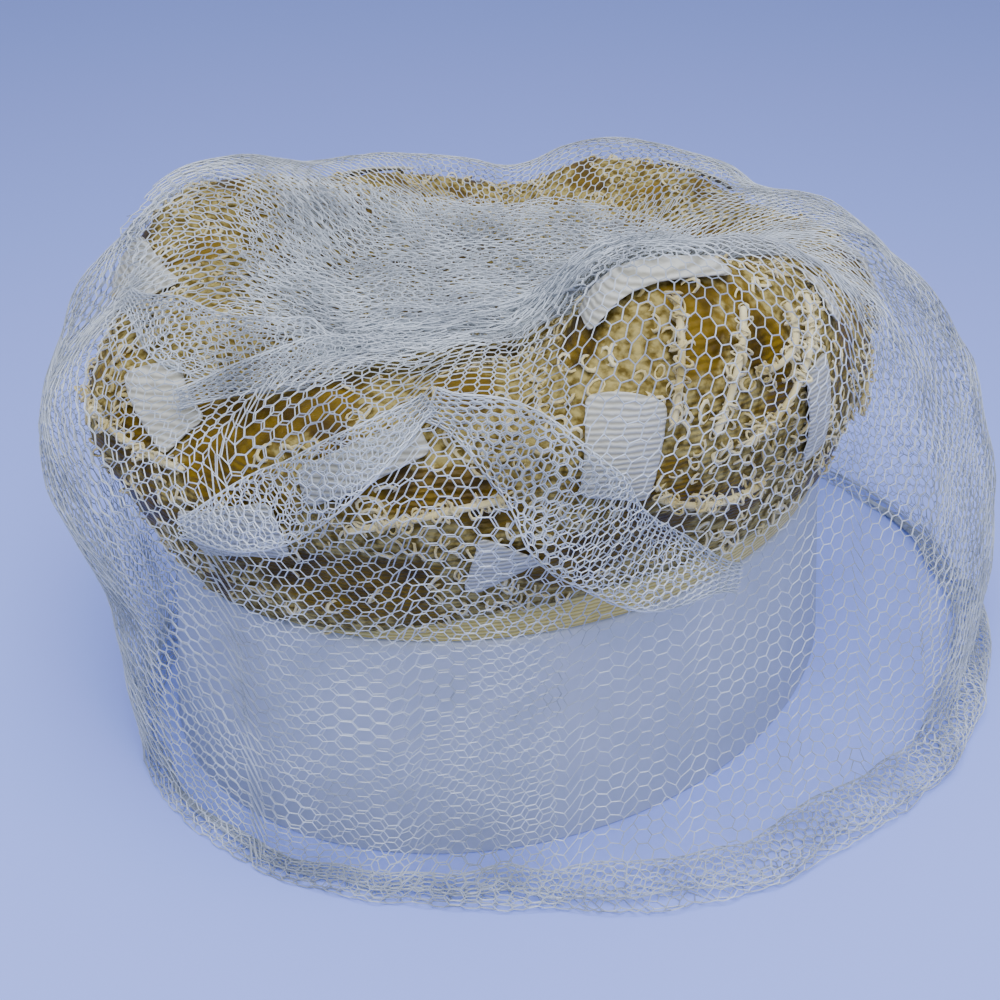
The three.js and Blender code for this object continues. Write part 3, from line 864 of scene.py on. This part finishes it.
@dataclass
class Crown:
    """The puffed straw crown with its thread, tapes and looped cords."""

    columns: int = 240
    rows: int = 84
    wall: float = 1.6 * MM
    crumple: float = 0.9 * MM
    sunk: float = 0.3 * MM
    tape_width: float = 16 * MM
    skin: Skin = field(default_factory=lambda: Skin("crown", 75 * MM, math.radians(106)))
    straw: StrawCloth = StrawCloth()
    # Its second colour is the dark end of the dye and of the painted shade between the ribs
    tape: Cloth = Cloth("ribbed cream rayon tape", "#c4c3b4", "#94917e", 1.1 * MM)
    gimp: Yarn = Yarn("cream looped cotton cord", "#ddd09a", "#b3a05a", 0.85)
    thread_loops: Loops = field(default_factory=lambda: Loops(1.5 * MM, 0.75 * MM, 6.5e4, 5))
    cord_loops: Loops = field(default_factory=lambda: Loops(1.2 * MM, 0.6 * MM, 3.2e5, 9, 0.5))
    patches: tuple[Patch, ...] = STRAW_PATCHES + THREAD_PATCHES
    patch_depth: float = 22

    def build(self) -> None:
        """Model the crown and its trims and dress them."""
        self.skin.measure()
        cloth = self.model_cloth()
        self.paint_lace(cloth)
        loops = self.thread_loops.strew(cloth, "crown_thread", "lace")
        modify(cloth, "SOLIDIFY", thickness=self.wall, offset=-1)
        gimp_material = self.gimp.build()
        finish_piece(cloth, self.straw.build(), self.skin.nodes())
        finish_piece(loops, gimp_material, [])
        tape_material = self.tape.build()
        for node in sorted(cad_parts):
            if node.startswith("tape_"):
                piece = smooth_copy(node, node + "_rayon", 2)
                finish_piece(piece, tape_material, [node])
                declare_ribbon(piece, self.tape_width)
            elif node.startswith("gimp_"):
                core = smooth_copy(node, node + "_core", 1)
                piece = self.cord_loops.strew(core, node + "_cord", "")
                select_only(piece, core)
                bpy.ops.object.join()
                finish_piece(piece, gimp_material, [node])

    def model_cloth(self) -> Drawn:
        """Lay a fine grid on the crown's face, with small crumples.

        Returns:
            The cloth, without a wall.
        """
        select_only()
        bpy.ops.mesh.primitive_grid_add(
            x_subdivisions=self.rows, y_subdivisions=self.columns, size=2)
        cloth = bpy.context.object
        cloth.name = "crown_straw"
        flat = rows_of(cloth)
        points = self.skin.place((flat[:, 1] + 1) * math.pi, (flat[:, 0] + 1) / 2)
        wave = ripples(points, 11 * MM, 1) + 0.6 * ripples(points, 5 * MM, 2)
        points += self.skin.outwards(points) * (wave * self.crumple - self.sunk)[:, None]
        set_points(cloth, points)
        # The grid's ends meet, and all its columns meet in the middle of the dish
        merge_points(cloth, 0.05 * MM)
        with edit_mode(cloth, "SELECT"):
            bpy.ops.mesh.normals_make_consistent(inside=False)
        bpy.ops.object.shade_smooth()
        return cloth

    def paint_lace(self, cloth: Drawn) -> None:
        """Write how much of the straw the cream thread covers at each point.

        Args:
            cloth: the crown's cloth, which gets the attribute.
        """
        points = rows_of(cloth)
        # Chance settles the cover where the photograph doesn't show it
        cover = 0.62 + 0.9 * ripples(points, 13 * MM, 3) + 0.5 * ripples(points, 6 * MM, 4)
        for patch in self.patches:
            middle = VIEW.touch(self.skin.tree, patch.x, patch.y)
            across, up, near = VIEW.seen(points - middle).T / MM
            reach = (across / patch.wide * 2) ** 2 + (up / patch.tall * 2) ** 2
            weight = np.exp(-(reach + (near / self.patch_depth) ** 2) ** 2)
            cover = cover * (1 - weight) + patch.thread * weight
        layer = cloth.data.attributes.new("lace", "FLOAT", "POINT")
        layer.data.foreach_set("value", np.clip(cover, 0, 1))


def hexagon_sheet(name: str, columns: int, rows: int) -> Drawn:
    """Make a flat sheet of joined hexagons.

    Args:
        name: the object's name.
        columns: the number of columns along Y, one unit apart.
        rows: the number of rows along X, one unit apart.

    Returns:
        The sheet, a face for each cell.
    """
    radius = 2 / 3
    pitch = math.sqrt(3) * radius
    select_only()
    bpy.ops.mesh.primitive_circle_add(vertices=6, radius=radius, fill_type="NGON")
    obj = bpy.context.object
    obj.name = name
    with edit_mode(obj, "SELECT"):
        bpy.ops.mesh.duplicate()
        bpy.ops.transform.translate(value=(pitch / 2, 1, 0))
    for count, step in ((rows, (pitch, 0, 0)), (columns // 2, (0, 2, 0))):
        modify(obj, "ARRAY", count=count, use_relative_offset=False,
               use_constant_offset=True, constant_offset_displace=step)
    merge_points(obj, 0.02)
    set_points(obj, rows_of(obj) / (pitch, 1, 1))
    return obj


def delete_faces(obj: Drawn, gone: Array) -> None:
    """Delete faces.

    Args:
        obj: the object.
        gone: a truth value for each face.
    """
    mark(obj, "polygons", gone)
    with edit_mode(obj):
        bpy.ops.mesh.delete(type="FACE")


def middles_of(obj: Drawn) -> Array:
    """Give the middles of an object's faces, a row for each."""
    return rows_of(obj, "polygons", "center")


@dataclass(frozen=True)
class Pull:
    """Where the net hangs closer in than the veil's solid, by degrees and by height."""

    turn: float
    spread: float
    height: float
    tall: float
    depth: float


@dataclass
class Layer:
    """One layer of net over the hat: how it lies, and which cells it keeps."""

    name: str
    offset: float
    seed: float
    inner: float
    phase: float
    keeps: Callable[[Array, Array], Array]


@dataclass
class Roll:
    """A fold or rolled edge of net: a flat tube of small cells along a path."""

    name: str
    path: Array
    size: Array
    width: float
    thickness: float
    cell: float
    on_floor: bool = False


@dataclass(frozen=True)
class Bunch:
    """The net that is bunched in the dish: crumpled layers, each turned from the last.

    Its extents are shares of the way to the crest at its turns, in degrees round the hat.
    """

    layers: int = 6
    columns: int = 58
    rows: int = 52
    middle: tuple[float, float, float] = (25.5, 28.5, 0)
    column_step: float = 2.97 * MM
    row_step: float = 3.33 * MM
    turn: float = 0.5
    stray: float = 4 * MM
    half_width: float = 52 * MM
    half_length: float = 66 * MM
    lowest: float = 1.2 * MM
    rise: float = 2 * MM
    crumple: float = 1.6 * MM
    sunk: float = 1 * MM
    shrink: float = 0.04
    fray: float = 0.06
    cut_length: float = 300 * MM
    turns: tuple[float, ...] = (-180, -135, -90, -45, 0, 45, 90, 135, 180)
    extents: tuple[float, ...] = (0.74, 0.86, 0.95, 0.92, 0.85, 0.72, 0.6, 0.62, 0.74)


# The ridges of folded net on the crown: their width in millimetres, and the pixels that
# look at them
FOLDS = {
    "veil_fold_right": (20, (
        (432, 405), (490, 425), (545, 470), (585, 530), (640, 568), (740, 578))),
    "veil_fold_left": (13, ((430, 402), (370, 450), (300, 500), (235, 522), (180, 528))),
    "veil_fold_crest": (15, (
        (180, 400), (250, 375), (330, 358), (430, 340), (520, 312), (580, 288))),
    "veil_fold_shoulder": (18, (
        (130, 300), (170, 330), (215, 350), (270, 360), (330, 352), (400, 340))),
}


@dataclass
class Veil:
    """The net veil: layers of hexagonal net over the hat, folds and a rolled hem."""

    columns: int = 200
    row_step: float = 3.7 * MM
    strand: float = 0.3 * MM
    over_crest: float = 32 * MM
    # Where the second layer lies and where its window is, in degrees round the hat
    inner_range: tuple[float, float] = (-165, 95)
    inner_window: tuple[float, float] = (-40, 14)
    # How far the cells of a layer stray, and over what length
    stray: float = 2.2 * MM
    stray_length: float = 26 * MM
    # The hem is rolled up from one angle to another, thickest at its middle
    hem_range: tuple[int, int] = (-100, 77)
    hem_middle: float = 8
    hem_taper: float = 30
    hem_lift: float = 1 * MM
    hem_roll: tuple[float, float, float] = (12 * MM, 7 * MM, 2.4 * MM)
    fold_thickness: float = 4.5 * MM
    fold_cell: float = 1.9 * MM
    fold_steps: int = 40
    fold_smoothings: int = 12
    bunch: Bunch = Bunch()
    # Half the surface of this thread in cells of 2.2 mm is 0.23 of the net's own area
    thread_share: float = 0.23
    least_area: float = 0.3001
    pulls: tuple[Pull, ...] = (
        Pull(-160, 43, 108 * MM, 22 * MM, 11 * MM),
        Pull(-146, 26, 22 * MM, 32 * MM, 9 * MM),
    )
    clear: float = 3 * MM
    skin: Skin = field(default_factory=lambda: Skin("veil", 45 * MM, math.radians(119)))
    net: Yarn = Yarn("white nylon veiling thread", "#bcc4c8", "#888f95", 0.32)

    def build(self) -> None:
        """Model the layers of net and dress them."""
        self.skin.measure()
        material = self.net.build()
        halves = {
            "left": lambda turn, down: np.cos(turn) > 0,
            "right": lambda turn, down: np.cos(turn) <= 0,
        }
        layers = [
            Layer("veil_outer_" + side, -0.3 * MM, 11, -34 * MM, 0.0, keeps)
            for side, keeps in halves.items()
        ]
        layers.append(Layer("veil_inner", -1.4 * MM, 21, -30 * MM, 0.4, self.inner_covers))
        made = [self.layer_net(layer) for layer in layers]
        fall = float((self.skin.length - self.skin.crest).mean()) + self.over_crest
        held = [("draped", fall)] * len(made)
        made.append(self.dish_net())
        held.append(("gathered", self.bunch.cut_length))
        for roll in self.rolls():
            made.append(self.roll_net(roll))
            held.append(("folded", float(way_along(roll.path)[-1])))
        for piece, (how, length) in zip(made, held):
            finish_piece(piece, material, self.skin.nodes())
            self.declare_net(piece)

    def declare_net(self, piece: Drawn) -> None:
        """Work out what size of net a piece was cut from; the result is not used.

        Args:
            piece: the piece.
        """
        cut = side_area(piece) / self.thread_share

    def inner_covers(self, turn: Array, down: Array) -> Array:
        """Say where the second layer lies: from the right to the front, but for a window.

        Args:
            turn: the angles round the hat, in radians.
            down: the distances below the crest.

        Returns:
            A truth value for each place.
        """
        degrees = np.degrees(turn_gap(turn, 0))
        covered, window = (
            (degrees > low) & (degrees < high)
            for low, high in (self.inner_range, self.inner_window))
        return covered & ~(window & (down > 0))

    def rolls(self) -> list[Roll]:
        """List the folds and the hem, which is rolled up in front.

        Returns:
            The folds and the hem.
        """
        turns = np.radians(np.arange(*self.hem_range, 3))
        edge = self.hug(self.skin.place(turns, np.ones(len(turns))))
        edge[:, 2] += self.hem_lift
        ends = np.minimum(turns - turns[0], turns[-1] - turns) / math.radians(self.hem_taper)
        front = np.exp(-(turn_gap(turns, math.radians(self.hem_middle)) / 1.1) ** 2)
        size = 0.1 + 0.9 * front * np.clip(ends, 0, 1)
        rolls = [Roll("veil_hem_roll", edge, size, *self.hem_roll, True)]
        for name, (width, pixels) in FOLDS.items():
            knots = np.array([VIEW.touch(self.skin.tree, x, y) for x, y in pixels])
            fine = np.linspace(0, 1, self.fold_steps)
            path = read_path(knots, fine * way_along(knots)[-1])
            for _ in range(self.fold_smoothings):
                path[1:-1] = (path[:-2] + 2 * path[1:-1] + path[2:]) / 4
            size = 0.25 + 0.75 * np.sin(np.clip(fine, 0.04, 0.96) * math.pi)
            rolls.append(
                Roll(name, path, size, width * MM, self.fold_thickness, self.fold_cell))
        return rolls

    def hug(self, points: Array) -> Array:
        """Pull the net in to the crown and the stand where nothing holds it off.

        Args:
            points: places on the net, which are moved.

        Returns:
            The same places.
        """
        carriers = tree_of([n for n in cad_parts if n.startswith(("crown", "stand"))])
        turn = np.arctan2(points[:, 1], points[:, 0])
        for pull in self.pulls:
            side = turn_gap(turn, math.radians(pull.turn)) / math.radians(pull.spread)
            level = (points[:, 2] - pull.height) / pull.tall
            wanted = pull.depth * np.exp(-side ** 2 - level ** 2)
            inwards = -points * (1, 1, 0)
            inwards /= np.linalg.norm(inwards, axis=1)[:, None]
            for i in np.flatnonzero(wanted > 0.3 * MM):
                hit, _, _, gap = carriers.ray_cast(Vector(points[i]), Vector(inwards[i]), 0.1)
                room = (gap if hit is not None else 0) - self.clear
                points[i] += inwards[i] * np.clip(room, 0, wanted[i])
        return points

    def layer_net(self, layer: Layer) -> Drawn:
        """Model one layer of net.

        Args:
            layer: the layer.

        Returns:
            The layer's strands.
        """
        longest = (self.skin.length - self.skin.crest).max()
        rows = math.ceil((longest - layer.inner) / self.row_step)
        sheet = hexagon_sheet(layer.name, self.columns, rows)
        turn, down = self.spread(middles_of(sheet), layer)
        hem = self.skin.around(self.skin.length - self.skin.crest, turn)
        delete_faces(sheet, ~(layer.keeps(turn, down) & (down < hem)))
        turn, down = self.spread(rows_of(sheet), layer)
        still = np.stack([np.cos(turn) * 0.1, np.sin(turn) * 0.1, down], axis=1)
        turn = turn + 0.02 * ripples(still, 30 * MM, layer.seed)
        down = down + self.stray * ripples(still, self.stray_length, layer.seed + 1)
        points = self.skin.below_crest(turn, down)
        lift = layer.offset + 0.5 * MM * ripples(points, 9 * MM, layer.seed + 2)
        points = self.hug(points) + self.skin.outwards(points) * lift[:, None]
        return self.strands(sheet, points)

    def spread(self, flat: Array, layer: Layer) -> tuple[Array, Array]:
        """Turn places on the flat sheet to angles and distances below the crest."""
        turn = (flat[:, 1] + layer.phase) / self.columns * math.tau
        return turn, flat[:, 0] * self.row_step + layer.inner

    def strands(self, sheet: Drawn, points: Array) -> Drawn:
        """Move a sheet of cells to its place and turn the edges of its cells to threads.

        Args:
            sheet: the sheet of cells.
            points: the place of each of its points.

        Returns:
            The threads.
        """
        points[:, 2] = np.maximum(points[:, 2], self.strand)
        set_points(sheet, points)
        merge_points(sheet, 0.02 * MM)
        modify(sheet, "WIREFRAME", thickness=self.strand, use_even_offset=False,
               use_boundary=True, offset=0)
        return sheet

    def dish_net(self) -> Drawn:
        """Model the net that is bunched in the dish: crumpled layers over each other.

        Returns:
            Its threads.
        """
        bunch = self.bunch
        made = []
        for number in range(bunch.layers):
            sheet = hexagon_sheet("veil_dish", bunch.columns, bunch.rows)
            flat = rows_of(sheet) - bunch.middle
            turn = bunch.turn * number
            across = flat[:, 1] * bunch.column_step
            along = flat[:, 0] * bunch.row_step
            still = np.stack([across, along, np.full(len(flat), number * 0.1)], axis=1)
            across = across + bunch.stray * ripples(still, 22 * MM, 31 + number)
            along = along + bunch.stray * ripples(still, 20 * MM, 41 + number)
            points = np.stack([
                across * math.cos(turn) - along * math.sin(turn),
                across * math.sin(turn) + along * math.cos(turn),
                np.zeros(len(flat))], axis=1)
            # The layers lie apart in the middle of the dish and close at its edge
            reach = np.hypot(points[:, 0] / bunch.half_width, points[:, 1] / bunch.half_length)
            lift = (bunch.lowest + bunch.rise * number) * np.clip(1.5 - reach, 0, 1)
            lift = lift + bunch.crumple * ripples(points, 13 * MM, 51 + number)
            points[:, 2] = self.skin.on_top(points[:, :2]) + lift - bunch.sunk
            set_points(sheet, points)
            middles = middles_of(sheet)
            turns = np.arctan2(middles[:, 1], middles[:, 0])
            rim = self.skin.around(self.skin.crest_radius(), turns)
            extent = np.interp(np.degrees(turns), bunch.turns, bunch.extents)
            extent = extent * (1 - bunch.shrink * number)
            extent = extent + bunch.fray * ripples(middles, 20 * MM, 71 + number)
            delete_faces(sheet, np.hypot(middles[:, 0], middles[:, 1]) > rim * extent)
            made.append(self.strands(sheet, rows_of(sheet)))
        select_only(*made)
        bpy.ops.object.join()
        return made[0]

    def roll_net(self, roll: Roll) -> Drawn:
        """Model a fold or rolled edge.

        Args:
            roll: its path, its size along the path, and its cells.

        Returns:
            Its threads.
        """
        along = way_along(roll.path)
        columns = 2 * round(along[-1] / roll.cell / 2)
        around = round(math.pi * (roll.width + roll.thickness) / 2 / roll.cell)
        sheet = hexagon_sheet(roll.name, columns, around)
        flat = rows_of(sheet)
        way = np.clip(flat[:, 1] / columns, 0, 1) * along[-1]
        place = read_path(roll.path, way)
        ahead = read_path(roll.path, way + 1 * MM) - read_path(roll.path, way - 1 * MM)
        ahead /= np.linalg.norm(ahead, axis=1)[:, None]
        away = np.array([(0, 0, 1)]) if roll.on_floor else self.skin.outwards(place)
        side = np.cross(away, ahead)
        spin = flat[:, 0] / around * math.tau
        size = np.interp(way, along, roll.size) * (1 + 0.3 * ripples(place, 16 * MM, 61))
        points = place + side * (np.cos(spin) * roll.width / 2 * size)[:, None]
        points = points + away * ((0.7 + np.sin(spin)) * roll.thickness / 2 * size)[:, None]
        return self.strands(sheet, points)


def turn_gap(turn: Array, other: float) -> Array:
    """Give the turn from one angle to others, from minus to plus half a round."""
    return (turn - other + math.pi) % math.tau - math.pi


@dataclass
class Studio:
    """The pale floor, the soft lights and the camera.

    Each light has its name, its place, its width and its power in watts.
    """

    floor_colour: str = "#98abf8"
    floor_width: float = 14
    air_colour: str = "#ccd6fa"
    air_strength: float = 0.6
    light_colour: str = "#eef1ff"
    aimed_at: tuple[float, float, float] = (0, 0, 70 * MM)
    lights: tuple[tuple, ...] = (
        ("ceiling_softbox", (-0.4, 0.4, 2.6), 2.4, 28.0),
        ("top_softbox", (0.22, -0.2, 0.62), 0.5, 6.0),
        ("front_softbox", (0.9, -0.5, 0.6), 0.7, 3.0),
    )

    def build(self) -> None:
        """Make the floor, the lights and the camera."""
        self.build_camera()
        self.build_floor()
        self.build_lights()

    def build_camera(self) -> None:
        """Place the camera at the photograph's viewing angle."""
        data = bpy.data.cameras.new("camera")
        data.lens = VIEW.lens
        data.sensor_width = VIEW.sensor
        data.clip_start = 0.01
        camera = add_object("camera", data)
        camera.location = VIEW.place
        camera.rotation_euler = VIEW.turn().to_euler()
        bpy.context.scene.camera = camera

    def build_floor(self) -> None:
        """Lay a wide sheet of card, so that its far edge is out of sight."""
        select_only()
        bpy.ops.mesh.primitive_plane_add(size=self.floor_width)
        floor = bpy.context.object
        floor.name = "studio_floor"
        material, _, shader = new_material("pale blue card")
        set_inputs(shader, {"Base Color": linear(self.floor_colour), "Roughness": 0.8})
        floor.data.materials.append(material)

    def build_lights(self) -> None:
        """Make the soft lights and the world's light."""
        world = bpy.data.worlds.new("studio")
        bpy.context.scene.world = world
        world.use_nodes = True
        set_inputs(world.node_tree.nodes["Background"], {
            "Color": linear(self.air_colour), "Strength": self.air_strength})
        for name, place, size, power in self.lights:
            data = bpy.data.lights.new(name, "AREA")
            data.size = size
            data.energy = power
            data.color = linear(self.light_colour)[:3]
            light = add_object(name, data)
            light.location = place
            aim = Vector(place) - Vector(self.aimed_at)
            light.rotation_euler = aim.to_track_quat("Z", "Y").to_euler()


def main() -> None:
    """Build the studio and the hat's pieces in order."""
    logging.basicConfig(level=logging.INFO, format="%(message)s")
    Studio().build()
    Stand().build()
    Headband().build()
    Crown().build()
    Veil().build()


if __name__ == "__main__":
    main()
